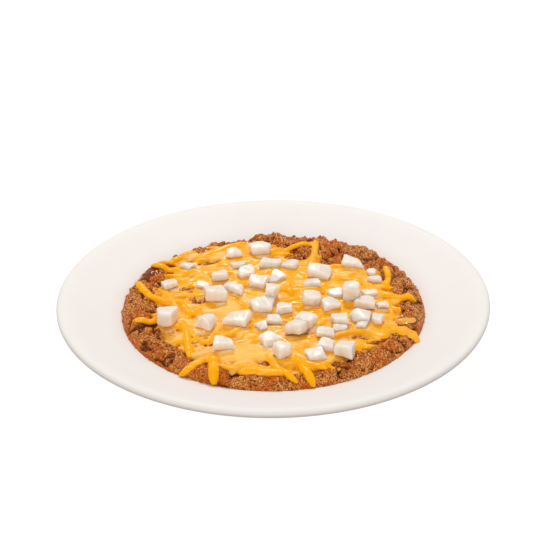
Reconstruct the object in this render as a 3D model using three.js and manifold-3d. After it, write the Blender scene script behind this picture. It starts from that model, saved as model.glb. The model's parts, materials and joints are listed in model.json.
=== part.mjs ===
// Chili con carne in a rimmed soup plate, under melted Cheddar shreds and diced white onion.
// Millimetres, +Z up. The origin is on the table, under the middle of the plate.
//
// soup_plate  a wide-rimmed, rolled-edge plate on a foot ring
// chili       the stew up to its level: lumps of minced beef and a few beans stand out of it
// cheese      one melted sheet with the shreds that still show, cut clear of the chili and the onion
// onion_01..  the dice, each a curved piece of an onion's layers, lying on the cheese
import * as THREE from "three";
import { mergeVertices } from "three/addons/utils/BufferGeometryUtils.js";
import Module from "manifold-3d";

const wasm = await Module();
wasm.setup();
const { clamp, degToRad, euclideanModulo, lerp, mapLinear, seededRandom, smoothstep } = THREE.MathUtils;

// ---- driving dimensions ----
const PLATE_RADIUS = 115;
const PLATE_HEIGHT = 35;
const PLATE_WALL = 4.6;
const EDGE_ROUND = 2.2;
const FOOT_RADIUS = 60;
const FOOT_WIDTH = 4;
const FOOT_HEIGHT = 3.5;
const FLOOR_RADIUS = 52;
const SHOULDER_RADIUS = 82;
const SHOULDER_HEIGHT = 26;

const CHILI_RADIUS = 81;
const CHILI_LEVEL = SHOULDER_HEIGHT + 0.1;
const CHILI_DOME = 3.2;
const BANK_HEIGHT = 2.4;
const BANK_WIDTH = 3.5;
const LUMP_SPACING = 9;
const LUMP_HEIGHT = 4;
const BEAN_LENGTH = 13;
const BEAN_WIDTH = 7;
const BEAN_BEND = 0.7; // how far it bows: 0 is straight
const BEAN_SUNK = 1.2; // its middle, under the mince
const BEAN_PLACES = [[69, -20, 5], [-66, 34, 70]]; // [x, y, turn in degrees]

const SHEET_THICKNESS = 2.4;
const SHRED_WIDTH = 4.2;
const SHRED_HEIGHT = 2.8;
const SHRED_LIMIT = 76.5; // from the middle, so that no shred hangs over the rim
const SHREDS_IN_SHEET = 18;

const GAP = 0.3; // between one solid and the next

const PLATE_SEGMENTS = 64;
const CHILI_SEGMENTS = 96;
const SHEET_SEGMENTS = 60;

// How far the melted sheet reaches from the middle, every 15 degrees anticlockwise from +X.
const SHEET_REACH = [
  66, 64, 66, 54, 56, 53, 62, 72, 73, 74, 65, 65,
  62, 65, 68, 67, 70, 71, 73, 72, 69, 65, 68, 69,
];

// Shreds that run out over the chili: [from x, from y, to x, to y, bend].
const STRAY_SHREDS = [
  [-53, -3, -74, 22, 3],
  [-53, -11, -74, -19, 3],
  [-50, -24, -43, -56, 1],
  [-32, -50, -48, -67, 2],
  [-31, -52, -30, -76, 0],
  [-19, -67, 5, -69, 0],
  [-3, -58, 12, -77, -2],
  [8, -58, 20, -77, 1],
  [-2, -62, 27, -69, 2],
  [10, -54, 34, -66, -3],
  [42, -27, 77, -31, 3],
  [42, -30, 73, -38, 2],
  [50, 13, 76, 2, -2],
  [60, 14, 61, 39, -2],
  [26, 34, 52, 27, 3],
  [20, 38, 24, 66, -1],
  [-4, 55, 26, 64, 1],
  [-42, 49, -13, 66, 1],
  [-46, 40, -66, 40, 2],
];

// The dice by kind: [width, depth, height] and where each lies as [x, y, turn in degrees].
const DICE = [
  {
    size: [9, 7.5, 5.4], // blocks
    places: [
      [-34.5, -28.5, -25],
      [5, -57, 25],
      [20.5, -5.5, -5],
      [37, -56.5, -15],
      [-30.5, 0, 10],
      [11, -36, -20],
      [16.5, -27.5, -35],
    ],
  },
  {
    size: [11.5, 8.5, 4.2], // wide slabs
    places: [
      [-6.5, 54, 10],
      [-18.5, -25.5, -10],
      [-6.5, -12, 5],
      [25.5, 24.5, -20],
      [44, 35.5, -15],
    ],
  },
  {
    size: [9.2, 7, 3.8], // flakes
    places: [
      [26.5, -50.5, -15],
      [-21, 50, 5],
      [-28.5, 21.5, 5],
      [-14.5, 25.5, 20],
      [-20.5, 6.5, -20],
      [-1, 35.5, 0],
      [5.5, -14.5, 5],
      [-2, -45.5, 30],
      [-25.5, -49, 12],
      [30.5, -10.5, 15],
      [49, -7, -15],
      [45.5, -22, -5],
      [21.5, -59, 10],
      [-8.5, 14.5, -15],
      [34, -25, 0],
    ],
  },
  {
    size: [7.2, 5.5, 2.8], // chips
    places: [
      [-45.5, 37, 40],
      [-55.5, 16.5, 30],
      [9.5, 34.5, -20],
      [51.5, 4.5, 15],
      [54.5, 20, 10],
      [-18.5, 36.5, 5],
      [1.5, 19, 60],
      [21, 13, 0],
      [33.5, 2.5, 10],
      [27, -38.5, 0],
      [0, -25, 0],
      [54.5, -23, 80],
    ],
  },
  {
    size: [6.2, 4.4, 2.2], // bits
    places: [
      [-37, 14, -10],
      [53, 28, 0],
      [58, -7, 20],
      [46, -29, -10],
      [34.5, -32.5, 5],
      [-5.5, -30.5, 10],
    ],
  },
  {
    size: [10.5, 9, 7.5], // one big cube
    places: [
      [-55.5, -22.5, 80],
    ],
  },
  {
    size: [7.5, 6, 8], // pieces that stand on a cut side
    places: [
      [-0.5, -1.5, 85],
      [41.5, -0.5, -10],
    ],
  },
];

// ---- helpers ----

// The geometry with each vertex moved by change(point).
function reshape(geometry, change) {
  const places = geometry.getAttribute("position");
  const point = new THREE.Vector3();
  for (let i = 0; i < places.count; i++) {
    change(point.fromBufferAttribute(places, i));
    places.setXYZ(i, point.x, point.y, point.z);
  }
  return geometry;
}

// A profile of [radius, height] points turned about Z.
function turned(profile, segments) {
  const points = profile.map(([radius, height]) => new THREE.Vector2(radius, height));
  return new THREE.LatheGeometry(points, segments).rotateX(Math.PI / 2);
}

// A closed geometry as a solid that can be joined and cut.
function solidOf(geometry) {
  const bare = geometry.clone().deleteAttribute("normal").deleteAttribute("uv");
  const merged = mergeVertices(bare, 1e-3);
  const vertProperties = merged.getAttribute("position").array;
  const triVerts = new Uint32Array(merged.index.array);
  return new wasm.Manifold(new wasm.Mesh({ numProp: 3, vertProperties, triVerts }));
}

// The largest body of a joined or cut solid, as a geometry.
function geometryOf(solid) {
  const [largest] = solid.decompose().sort((a, b) => b.volume() - a.volume());
  const { vertProperties, triVerts } = largest.getMesh();
  const geometry = new THREE.BufferGeometry();
  geometry.setAttribute("position", new THREE.BufferAttribute(vertProperties, 3));
  geometry.setIndex(new THREE.BufferAttribute(triVerts, 1));
  geometry.computeVertexNormals();
  return geometry;
}

// A value that moves smoothly through evenly spaced knots on a circle, at an angle in radians.
function roundKnots(knots, angle) {
  const turn = euclideanModulo(angle / (2 * Math.PI), 1) * knots.length;
  const low = Math.floor(turn);
  return lerp(knots[low % knots.length], knots[(low + 1) % knots.length], smoothstep(turn - low, 0, 1));
}

// How far a place lies outside the melted sheet's edge, less than 0 inside it.
function pastSheet(x, y) {
  return Math.hypot(x, y) - roundKnots(SHEET_REACH, Math.atan2(y, x));
}

function named(name, geometry, material) {
  const mesh = new THREE.Mesh(geometry, material);
  mesh.name = name;
  return mesh;
}

// ---- soup plate ----

// The side that food lies on, from the middle of the well to the top of the rolled edge.
function insideProfile() {
  const floor = FOOT_HEIGHT + PLATE_WALL;
  const line = new THREE.Path();
  line.moveTo(0, floor);
  line.lineTo(FLOOR_RADIUS, floor);
  line.bezierCurveTo(69, floor, 71, SHOULDER_HEIGHT - 2.5, SHOULDER_RADIUS, SHOULDER_HEIGHT);
  line.lineTo(PLATE_RADIUS - EDGE_ROUND - 3, PLATE_HEIGHT);
  return line.getPoints(5).map((point) => [point.x, point.y]);
}

const wellAndRim = insideProfile();

// Height of the plate's upper side at a radius.
function plateTop(radius) {
  const next = Math.max(1, wellAndRim.findIndex(([r]) => r >= radius));
  const [r0, h0] = wellAndRim[next - 1];
  const [r1, h1] = wellAndRim[next];
  return mapLinear(radius, r0, r1, h0, h1);
}

function soupPlate() {
  const under = SHOULDER_HEIGHT - PLATE_WALL;
  const line = new THREE.Path();
  line.moveTo(0, FOOT_HEIGHT);
  line.lineTo(FOOT_RADIUS - FOOT_WIDTH - 2, FOOT_HEIGHT);
  line.lineTo(FOOT_RADIUS - FOOT_WIDTH, 0);
  line.lineTo(FOOT_RADIUS, 0);
  line.lineTo(FOOT_RADIUS + 1.5, FOOT_HEIGHT);
  line.bezierCurveTo(75, 5, 77, under - 4, 88, under);
  line.lineTo(PLATE_RADIUS - 5, PLATE_HEIGHT - 2 * EDGE_ROUND - 1);
  line.absarc(PLATE_RADIUS - EDGE_ROUND, PLATE_HEIGHT - EDGE_ROUND, EDGE_ROUND, -Math.PI / 3, Math.PI / 2);
  const outside = line.getPoints(3).map((point) => [point.x, point.y]);
  return turned([...outside, ...wellAndRim.toReversed()], PLATE_SEGMENTS);
}

// ---- chili ----

// Lumps of mince on a jittered grid: [x, y, radius, height].
function mincedLumps() {
  seededRandom(41);
  const jitter = () => (seededRandom() - 0.5) * LUMP_SPACING;
  const found = [];
  for (let x = -CHILI_RADIUS; x <= CHILI_RADIUS; x += LUMP_SPACING)
    for (let y = -CHILI_RADIUS; y <= CHILI_RADIUS; y += LUMP_SPACING) {
      const radius = LUMP_SPACING * lerp(0.55, 0.95, seededRandom());
      const height = LUMP_HEIGHT * lerp(0.35, 1, seededRandom());
      found.push([x + jitter(), y + jitter(), radius, height]);
    }
  return found;
}

const lumps = mincedLumps();

// How far the mince stands out of the stew at a place: the melted sheet evens it out.
function lumpRise(x, y) {
  const rises = lumps.map(([lumpX, lumpY, radius, height]) => {
    const share = 1 - ((x - lumpX) ** 2 + (y - lumpY) ** 2) / radius ** 2;
    return share > 0 ? height * Math.sqrt(share) : 0;
  });
  return Math.max(...rises) * smoothstep(pastSheet(x, y), 1, 7);
}

// The share of the full depth that the stew has this near its edge.
const fromEdge = (x, y) => clamp((CHILI_RADIUS - Math.hypot(x, y)) / BANK_WIDTH, 0, 1);

// Height of the stew without its lumps: a low dome, with a rounded bank where it meets the rim.
function stewTop(x, y) {
  const edge = fromEdge(x, y);
  const bank = BANK_HEIGHT * Math.sqrt(1 - (1 - edge) ** 2);
  const dome = CHILI_DOME * (1 - (x * x + y * y) / CHILI_RADIUS ** 2);
  return CHILI_LEVEL + bank + edge * dome;
}

const chiliTop = (x, y) => stewTop(x, y) + fromEdge(x, y) * lumpRise(x, y);

function chiliBody() {
  const bottom = wellAndRim.filter(([radius]) => radius < CHILI_RADIUS - 2);
  const lifted = bottom.map(([radius, height]) => [radius * 0.99, height + GAP]);
  const edge = [CHILI_RADIUS, plateTop(CHILI_RADIUS) + GAP];
  const rings = [79.8, 77.6, 75, 72, 69, 65.5, 62, 57.5, 52, 40, 20, 0];
  const flatTop = rings.map((radius) => [radius, CHILI_LEVEL + 1]);
  return reshape(turned([...lifted, edge, ...flatTop], CHILI_SEGMENTS), (point) => {
    if (point.z > CHILI_LEVEL + 0.5) point.z = chiliTop(point.x, point.y);
  });
}

// A bean that stands out of the mince.
function bean(x, y, turn) {
  const body = new THREE.SphereGeometry(0.5, 12, 6);
  body.scale(BEAN_LENGTH, BEAN_WIDTH, BEAN_WIDTH);
  const bent = reshape(body, (point) => {
    point.y += (BEAN_BEND * point.x * point.x) / BEAN_LENGTH;
  });
  return bent.rotateZ(degToRad(turn)).translate(x, y, chiliTop(x, y) - BEAN_SUNK);
}

// ---- cheese ----

const sheetTop = (x, y) => stewTop(x, y) + SHEET_THICKNESS;

// The sheet from a flat round slab: the rings are shares of its reach, over and under its edge.
function meltedSheet() {
  const under = [0, 0.35, 0.7, 0.94].map((share) => [share, -1]);
  const over = [0.96, 0.85, 0.65, 0.35, 0].map((share) => [share, 1]);
  return reshape(turned([...under, [1, 0], ...over], SHEET_SEGMENTS), (point) => {
    const share = Math.hypot(point.x, point.y);
    const reach = roundKnots(SHEET_REACH, Math.atan2(point.y, point.x));
    const top = SHEET_THICKNESS * lerp(1, 0.75, smoothstep(share, 0.8, 1));
    const rise = mapLinear(point.z, -1, 1, 1.5 * GAP, top);
    point.x *= reach;
    point.y *= reach;
    point.z = stewTop(point.x, point.y) + rise;
  });
}

// Height of whatever is on top at a place, the sheet or the mince round it.
const foodTop = (x, y) => (pastSheet(x, y) < 0 ? sheetTop(x, y) : chiliTop(x, y));

// The highest food under a round piece of this radius.
function bedUnder(x, y, radius) {
  const turns = Array.from({ length: 8 }, (_, i) => (i * Math.PI) / 4);
  const around = turns.map((turn) => foodTop(x + radius * Math.cos(turn), y + radius * Math.sin(turn)));
  return Math.max(foodTop(x, y), ...around);
}

// One shred along a bent line between two places, flat under and narrower on top.
function shred(fromX, fromY, toX, toY, bend) {
  const from = new THREE.Vector2(fromX, fromY).clampLength(0, SHRED_LIMIT);
  const to = new THREE.Vector2(toX, toY).clampLength(0, SHRED_LIMIT);
  const along = to.clone().sub(from);
  const aside = new THREE.Vector2(-along.y, along.x).setLength(2 * bend);
  const middle = from.clone().add(to).divideScalar(2).add(aside);
  const line = new THREE.QuadraticBezierCurve(from, middle, to);
  const steps = Math.max(3, Math.round(along.length() / 6));
  return reshape(new THREE.BoxGeometry(1, 1, 1, steps, 1, 1), (point) => {
    const centre = line.getPoint(point.x + 0.5);
    const tangent = line.getTangent(point.x + 0.5);
    const across = point.y * SHRED_WIDTH * (point.z > 0 ? 0.6 : 1);
    const lift = pastSheet(centre.x, centre.y) < 2 ? -0.5 : 2 * GAP;
    const up = (point.z + 0.5) * SHRED_HEIGHT;
    point.x = centre.x - tangent.y * across;
    point.y = centre.y + tangent.x * across;
    point.z = bedUnder(centre.x, centre.y, SHRED_WIDTH / 2) + lift + up;
  });
}

// Shreds that still show in the sheet, spread over it by the golden angle.
function shredsInSheet() {
  seededRandom(17);
  const goldenAngle = degToRad(137.5);
  return Array.from({ length: SHREDS_IN_SHEET }, (_, i) => {
    const angle = i * goldenAngle;
    const radius = roundKnots(SHEET_REACH, angle) * 0.86 * Math.sqrt((i + 0.5) / SHREDS_IN_SHEET);
    const heading = lerp(-1.1, 1.1, seededRandom());
    const half = lerp(9, 17, seededRandom());
    const x = radius * Math.cos(angle);
    const y = radius * Math.sin(angle);
    const dx = half * Math.cos(heading);
    const dy = half * Math.sin(heading);
    return shred(x - dx, y - dy, x + dx, y + dy, lerp(-4, 4, seededRandom()));
  });
}

// ---- onion ----

// A piece cut across an onion's layers: a little bent with them, none of its cuts quite square.
function onionPiece([width, depth, height]) {
  const grow = () => lerp(0.88, 1.12, seededRandom());
  const uneven = () => lerp(-0.16, 0.16, seededRandom());
  const size = [width * grow(), depth * grow(), height * grow()];
  const [widen, lengthen, slant, lean] = [uneven(), uneven(), uneven(), uneven()];
  const arch = size[2] * lerp(0.04, 0.16, seededRandom());
  return reshape(new THREE.BoxGeometry(...size, 2, 1, 1), (point) => {
    const outward = (2 * point.x) / size[0];
    const onward = (2 * point.y) / size[1];
    point.x += lean * point.z + slant * point.y + widen * onward * point.x;
    point.y += lengthen * outward * point.y;
    point.z -= arch * outward * outward;
  });
}

function onionDice(material) {
  seededRandom(23);
  const places = DICE.flatMap(({ size, places }) => places.map((place) => ({ size, place })));
  return places.map(({ size, place: [x, y, turn] }, i) => {
    const mesh = named(`onion_${String(i + 1).padStart(2, "0")}`, onionPiece(size), material);
    const tilt = () => degToRad(lerp(-10, 10, seededRandom()));
    mesh.rotation.set(tilt(), tilt(), degToRad(turn));
    const lowest = new THREE.Box3().setFromObject(mesh, true).min.z;
    mesh.position.set(x, y, bedUnder(x, y, size[1] / 2) + 1.5 * GAP - lowest);
    return mesh;
  });
}

// The room that a piece takes in what it lies on: the box round it, and the gap.
function pocket(mesh) {
  mesh.updateMatrix();
  mesh.geometry.computeBoundingBox();
  const room = mesh.geometry.boundingBox.clone().expandByScalar(GAP);
  const box = new THREE.BoxGeometry(...room.getSize(new THREE.Vector3()));
  box.translate(...room.getCenter(new THREE.Vector3()));
  return solidOf(box.applyMatrix4(mesh.matrix));
}

// ---- the dish ----

const glaze = new THREE.MeshStandardMaterial({ color: 0xefebe4, roughness: 0.2 });
const stew = new THREE.MeshStandardMaterial({ color: 0x7a3f1c, roughness: 0.45 });
const cheddar = new THREE.MeshStandardMaterial({ color: 0xf7a823, roughness: 0.35 });
const onionFlesh = new THREE.MeshStandardMaterial({ color: 0xf1efe6, roughness: 0.3 });

const dice = onionDice(onionFlesh);
const pockets = wasm.Manifold.union(dice.map(pocket));
const beans = BEAN_PLACES.map((place) => bean(...place));
const chiliSolid = wasm.Manifold.union([chiliBody(), ...beans].map(solidOf));
const strays = STRAY_SHREDS.map((line) => shred(...line));
const melted = wasm.Manifold.union([meltedSheet(), ...shredsInSheet(), ...strays].map(solidOf));
const cheeseSolid = melted.subtract(chiliSolid.translate([0, 0, GAP])).subtract(pockets);

const dish = new THREE.Group();
dish.add(named("soup_plate", soupPlate(), glaze));
dish.add(named("chili", geometryOf(chiliSolid.subtract(pockets)), stew));
dish.add(named("cheese", geometryOf(cheeseSolid), cheddar));
dish.add(...dice);

export default dish;
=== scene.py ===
# Chili con carne in a rimmed soup plate, topped with melted Cheddar shreds and diced white onion.
# Metres, +Z up, the origin on the table under the middle of the plate.
import json
import math
import random

import bmesh
import bpy
import numpy as np
from mathutils import Matrix, Vector, noise
from mathutils.bvhtree import BVHTree
from mathutils.geometry import interpolate_bezier
from mathutils.kdtree import KDTree

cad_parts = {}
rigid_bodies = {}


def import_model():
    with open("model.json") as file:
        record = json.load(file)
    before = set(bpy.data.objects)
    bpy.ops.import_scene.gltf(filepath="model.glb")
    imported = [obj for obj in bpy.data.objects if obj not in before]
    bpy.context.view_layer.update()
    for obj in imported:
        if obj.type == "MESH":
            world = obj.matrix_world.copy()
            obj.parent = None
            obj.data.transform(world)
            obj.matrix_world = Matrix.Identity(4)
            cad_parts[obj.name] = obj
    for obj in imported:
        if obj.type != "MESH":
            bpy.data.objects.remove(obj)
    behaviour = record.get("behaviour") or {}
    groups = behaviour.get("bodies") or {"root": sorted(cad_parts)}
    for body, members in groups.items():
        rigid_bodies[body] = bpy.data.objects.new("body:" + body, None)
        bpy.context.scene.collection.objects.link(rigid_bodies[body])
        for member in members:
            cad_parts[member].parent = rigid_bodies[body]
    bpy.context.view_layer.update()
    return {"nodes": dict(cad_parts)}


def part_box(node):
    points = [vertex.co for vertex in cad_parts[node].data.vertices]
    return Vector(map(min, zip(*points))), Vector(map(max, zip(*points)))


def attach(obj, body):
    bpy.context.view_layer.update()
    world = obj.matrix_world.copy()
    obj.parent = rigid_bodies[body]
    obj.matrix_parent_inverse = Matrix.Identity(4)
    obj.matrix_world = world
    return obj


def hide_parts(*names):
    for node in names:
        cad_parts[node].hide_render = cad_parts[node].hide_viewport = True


for leftover in list(bpy.data.objects):
    bpy.data.objects.remove(leftover)
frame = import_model()

NOISE_SEED = 3
SHRED_SEED = 7
ONION_SEED = 5
# Without a seed noise_vector starts from the clock, and each run would come out different.
noise.seed_set(NOISE_SEED)

MM = 0.001
DOWN = Vector((0, 0, -1))

# ---- dimensions in millimetres, down to the beans as the solids have them ----
PLATE_RADIUS = 115
PLATE_HEIGHT = 35
PLATE_WALL = 4.6
EDGE_ROUND = 2.2
FOOT_RADIUS = 60
FOOT_WIDTH = 4
FOOT_HEIGHT = 3.5
FLOOR_RADIUS = 52
SHOULDER_RADIUS = 82
SHOULDER_HEIGHT = 26
CHILI_RADIUS = 81
BEAN_LENGTH = 13
BEAN_WIDTH = 7
BEAN_BEND = 0.7  # how far it bows: 0 is straight
CHILI_LEVEL = SHOULDER_HEIGHT
CHILI_GAP = 0.5  # how far the chili's side goes down, clear of the plate
CRUMB_MARGIN = 0.5  # between the middles of the crumbs and the chili's edge
CLUMP_WIDTH = 9  # of the places where crumbs are larger
ROUGHNESS = 0.3  # how far the mince's smallest unevenness stands out
ROUGH_GRAIN = 1.7  # and how wide it is
FOLD_SPACING = 11
FOLD_WANDER = 4  # how far the folds stray from an even net
CLUMP_SPACING = 4.5
SHALLOW_CREASE = 1.1
DEEP_CREASE = 3.6
MINCE_DEPTH = 5  # heights over which the painted shade runs from the darkest hollow to the brightest height: of the mince,
FOLD_DEPTH = 3.5  # of its folds
CHEESE_DEPTH = 3  # and of the cheese
FILM_THICKNESS = 1.4
FILM_HALF = 80  # half the side of the square that the film is cut from
POOL_RISE = 1.4  # how much higher it stands in a pool
ONION_RISE = 0.7  # how far it is drawn up round a piece of onion
ONION_REACH = 2.0  # and how far out from it
SHRED_WIDTH = 4.0
SHRED_HEIGHT = 2.5
FULL_THICKNESS = 4  # cheese so thick hides the chili
DICE_SUNK = 1.5
DICE_GRAIN = 6  # how wide the onion's unevenness is
DICE_UNEVEN = 1.1  # and how far it stands out
LONGEST_EDGE = 1.4  # of an onion piece, before its long edges are divided
LAYER_THICKNESS = 3.4  # of the onion
STAIN_AND_GLOW_HEIGHT = 3.2  # how high the cheese stain and the painted warm glow from the cheese reach up a piece of onion

# ---- counts, shares and how fine the meshes are ----
MELTED_COUNT = 120
WHOLE_COUNT = 200
MOST_CROSSING = 0.15  # the share of a shred that may lie over an opening
MOST_OUTSIDE = 3  # how many millimetres of it may hang past the sheet
FILM_RISE = 0.45  # the share of its thickness by which the film raises what lies on it
DICE_SWELL = 1.1
BALL_SHAPES = 8
BEAN_CLEARING = -0.8  # no crumb where over_bean says more than this
SPECK_CORNERS = 40  # a loose bit with fewer is deleted
CHILI_VOXEL = 0.64  # in millimetres
CHILI_KEPT = 0.6  # the share of its faces that thinned_below leaves
CHEESE_VOXEL = 0.55
CHEESE_KEPT = 0.6
PLATE_STEPS = 96
BEND_STEPS = 12
FILM_STEPS = 160
LINE_STEPS = 14
SECTION_CORNERS = 10
GRID_STEP = 1.0
GRID_HALF = 84
GRID_COUNT = int(2 * GRID_HALF / GRID_STEP) + 1
RAY_HEIGHT = 60  # over everything on the table, in millimetres
MERGE_DISTANCE = 1e-6  # corners nearer than this are one, in metres

# ---- floor and light ----
FLOOR_HALF = 6  # half the floor's side, in metres
FLOOR_GLOW = 0.8
ROOM_LIGHT = 0.6
LIGHT_AIM = (0, 0, 0.03)

# Each light: [name, place, width, depth, watts], in metres.
LIGHTS = [
    ["key", (0.0, 0.95, 1.15), 0.2, 0.2, 9.2],
    ["front", (-0.1, -0.9, 1.25), 1.6, 1.6, 4.7],
    ["low", (-0.1, -1.6, 0.36), 1.4, 0.4, 5.5],
]

# Beans that stand out of the mince: [x, y, turn in degrees, how far melted fat has gilded it].
BEAN_PLACES = [[69, -20, 5, 1.0], [-66, 34, 70, 0.0]]

# Crumbs of mince, from the coarsest: how many are tried, the smallest and the largest radius.
CRUMB_SIZES = [[600, 1.8, 3.4], [1500, 0.9, 1.7], [2500, 0.5, 0.9]]

# How far the melted sheet reaches from the middle, every 15 degrees anticlockwise from +X.
SHEET_REACH = [66, 64, 66, 54, 56, 53, 62, 72, 73, 74, 65, 65, 62, 65, 68, 67, 70, 71, 73, 72, 69, 65, 68, 69]

# Where the chili shows through the cheese: [x, y, half length, half width, turn in degrees].
OPENINGS_IN_CHEESE = [
    [34, 43, 8, 5, -10],
    [-37, 0, 6, 2.5, 20],
    [-32, 45, 9, 1.8, 5],
    [-46, 13, 4, 1.5, 30],
    [-31, -41, 6, 3, 15],
    [7, 4, 5, 2, -20],
    [45, -39, 5, 2.2, 15],
    [-5, -63, 6, 2.2, 0],
    [15, -33, 6, 2, 40],
    [14, 52, 7, 5, 10],
    [57, 1, 4, 1.2, 10],
]

# Where the cheese has run together and set smooth: [x, y, half length, half width, how far it has paled].
POOLS_OF_CHEESE = [
    [-12, -54, 20, 8, 0.4],
    [-24, -10, 7, 10, 0.6],
    [59, -31, 18, 7, 0.1],
    [-2, 3, 9, 4, 0.6],
]

# Shreds that lie on top or run out over the chili: [from x, from y, to x, to y, bend, width].
STRAY_SHREDS = [
    [-50, -4, -74, 22, 4, 5.0],
    [-51, -10, -74, -19, 3, 4.6],
    [-48, -22, -43, -56, 1, 4.0],
    [-32, -54, -48, -67, 2, 5.0],
    [-31, -54, -30, -76, 0, 6.0],
    [-18, -69, 5, -72, 0, 6.0],
    [-3, -56, 12, -78, -2, 4.4],
    [8, -56, 20, -79, 1, 5.2],
    [-4, -61, 27, -69, 2, 4.6],
    [8, -52, 34, -66, -3, 4.8],
    [48, 14, 76, 2, -2, 5.6],
    [60, 12, 61, 39, -2, 4.0],
    [24, 35, 52, 26, 3, 3.8],
    [20, 36, 24, 67, -1, 4.2],
    [-6, 54, 26, 64, 1, 4.0],
    [-44, 47, -13, 67, 1, 5.0],
    [-44, 38, -67, 40, 2, 4.4],
    [-63, 41, -42, 58, 1, 4.0],
    [-60, 14, -52, -14, 2, 4.0],
    [-38, -42, -17, -30, -3, 4.6],
    [-51, 17, -39, 25, 1, 4.0],
    [-52, 0, -44, -16, 1, 4.0],
    [-15, 13, -6, 19, 1, 3.6],
    [30, -39, 49, -33, 2, 4.4],
    [8, 9, 19, -3, -1, 3.6],
    [-6, -31, 9, -33, 2, 3.8],
    [-39, 52, -22, 62, 1, 4.0],
]


def linear(hex_colour):
    """An sRGB hex colour as linear RGBA."""
    channels = [int(hex_colour[i : i + 2], 16) / 255 for i in (1, 3, 5)]
    return [c / 12.92 if c <= 0.04045 else ((c + 0.055) / 1.055) ** 2.4 for c in channels] + [1.0]


def add_node(tree, kind, inputs=None, **settings):
    """A node with its settings, and its inputs set or linked."""
    made = tree.nodes.new(kind)
    for name, value in settings.items():
        setattr(made, name, value)
    for name, value in (inputs or {}).items():
        if isinstance(value, bpy.types.NodeSocket):
            tree.links.new(value, made.inputs[name])
        else:
            made.inputs[name].default_value = value
    return made


def new_material(name):
    """An empty node material and its tree."""
    material = bpy.data.materials.new(name)
    material.use_nodes = True
    material.node_tree.nodes.clear()
    return material, material.node_tree


def tinted(tree, base, *layers):
    """A colour with others laid over it, each as [what drives it, curve, start, full, cover, tint].

    A tint begins to show where its driver passes the start, and covers its share from full onwards.
    """
    colour = linear(base)
    for source, curve, start, full, cover, tint in layers:
        share = add_node(
            tree,
            "ShaderNodeMapRange",
            {"Value": source, "From Min": start, "From Max": full, "To Max": cover},
            interpolation_type=curve,
        ).outputs[0]
        shade = linear(tint) if isinstance(tint, str) else tint
        colour = add_node(
            tree, "ShaderNodeMix", {0: share, 6: colour, 7: shade}, data_type="RGBA"
        ).outputs[2]
    return colour


def lerp(a, b, share):
    return a + (b - a) * share


def smoothstep(low, high, value):
    share = min(max((value - low) / (high - low), 0.0), 1.0)
    return share * share * (3 - 2 * share)


def round_knots(knots, angle):
    """A value that moves smoothly through evenly spaced knots on a circle."""
    turn = (angle / math.tau) % 1.0 * len(knots)
    low = int(turn)
    return lerp(knots[low % len(knots)], knots[(low + 1) % len(knots)], smoothstep(0, 1, turn - low))


def ripple(x, y, size, layer, stretch=1.0):
    """Smooth noise over the dish: its size in millimetres, which layer of it, its stretch along X."""
    return noise.noise(Vector((x / stretch, y, layer)) / size)


def along_and_across(x, y, centre_x, centre_y, turn):
    """A place measured from a centre, along a line turned by so many degrees, and across it."""
    angle = math.radians(turn)
    dx, dy = x - centre_x, y - centre_y
    along = dx * math.cos(angle) + dy * math.sin(angle)
    across = dy * math.cos(angle) - dx * math.sin(angle)
    return along, across


def past_sheet(x, y):
    """How far a place lies outside the melted sheet's edge, in millimetres."""
    return math.hypot(x, y) - round_knots(SHEET_REACH, math.atan2(y, x))


def in_opening(x, y, grow=0.0):
    """Whether a place lies in one of the openings that show the chili."""
    wobble = 1 + 0.35 * ripple(x, y, 5, 0)
    for centre_x, centre_y, half_length, half_width, turn in OPENINGS_IN_CHEESE:
        along, across = along_and_across(x, y, centre_x, centre_y, turn)
        if (along / (half_length + grow)) ** 2 + (across / (half_width + grow)) ** 2 < wobble:
            return True
    return False


def in_pool(x, y):
    """1 in the middle of a pool of melted cheese, 0 outside, and how far the cheese in it has paled."""
    depth, paled = 0.0, 0.0
    for centre_x, centre_y, half_length, half_width, tone in POOLS_OF_CHEESE:
        off = math.hypot((x - centre_x) / half_length, (y - centre_y) / half_width)
        share = smoothstep(1.1, 0.7, off + 0.25 * ripple(x, y, 6, 60))
        if share > depth:
            depth, paled = share, tone
    return depth, paled


def onion_nodes():
    return sorted(name for name in frame["nodes"] if name.startswith("onion_"))


def onion_spots():
    """The middle and the half width of every piece of onion, in millimetres, for finding the nearest one."""
    names = onion_nodes()
    spots = KDTree(len(names))
    halves = []
    for i, name in enumerate(names):
        low, high = (Vector(corner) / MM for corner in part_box(name))
        middle = (low + high) / 2
        spots.insert((middle.x, middle.y, 0), i)
        halves.append((high.x - low.x + high.y - low.y) / 4)
    spots.balance()
    return spots, halves


def by_onion(spots, x, y, reach):
    """1 under a piece of onion, falling to 0 within the reach around it."""
    tree, halves = spots
    closest = 0.0
    for _, i, apart in tree.find_n((x, y, 0), 2):
        closest = max(closest, smoothstep(halves[i] + reach, halves[i], apart))
    return closest


def over_bean(x, y):
    """How far a place lies inside a bean, 1 in its middle and below 0 outside, and how gilded it is."""
    inside, gilded = -9.0, 0.0
    for bean_x, bean_y, turn, gilt in BEAN_PLACES:
        along, across = along_and_across(x, y, bean_x, bean_y, turn)
        across -= BEAN_BEND * along * along / BEAN_LENGTH
        here = 1 - (2 * along / BEAN_LENGTH) ** 2 - (2 * across / BEAN_WIDTH) ** 2
        if here > inside:
            inside, gilded = here, gilt
    return inside, gilded


def add_object(name, data):
    added = bpy.data.objects.new(name, data)
    bpy.context.scene.collection.objects.link(added)
    return added


def set_surface(mesh, material):
    """Gives a mesh its one material and smooth shading."""
    mesh.materials.append(material)
    for face in mesh.polygons:
        face.use_smooth = True


def finished_mesh(piece):
    """The piece's mesh with its modifiers applied."""
    graph = bpy.context.evaluated_depsgraph_get()
    return bpy.data.meshes.new_from_object(piece.evaluated_get(graph))


def apply_modifiers(piece):
    mesh = finished_mesh(piece)
    piece.modifiers.clear()
    piece.data = mesh


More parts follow.
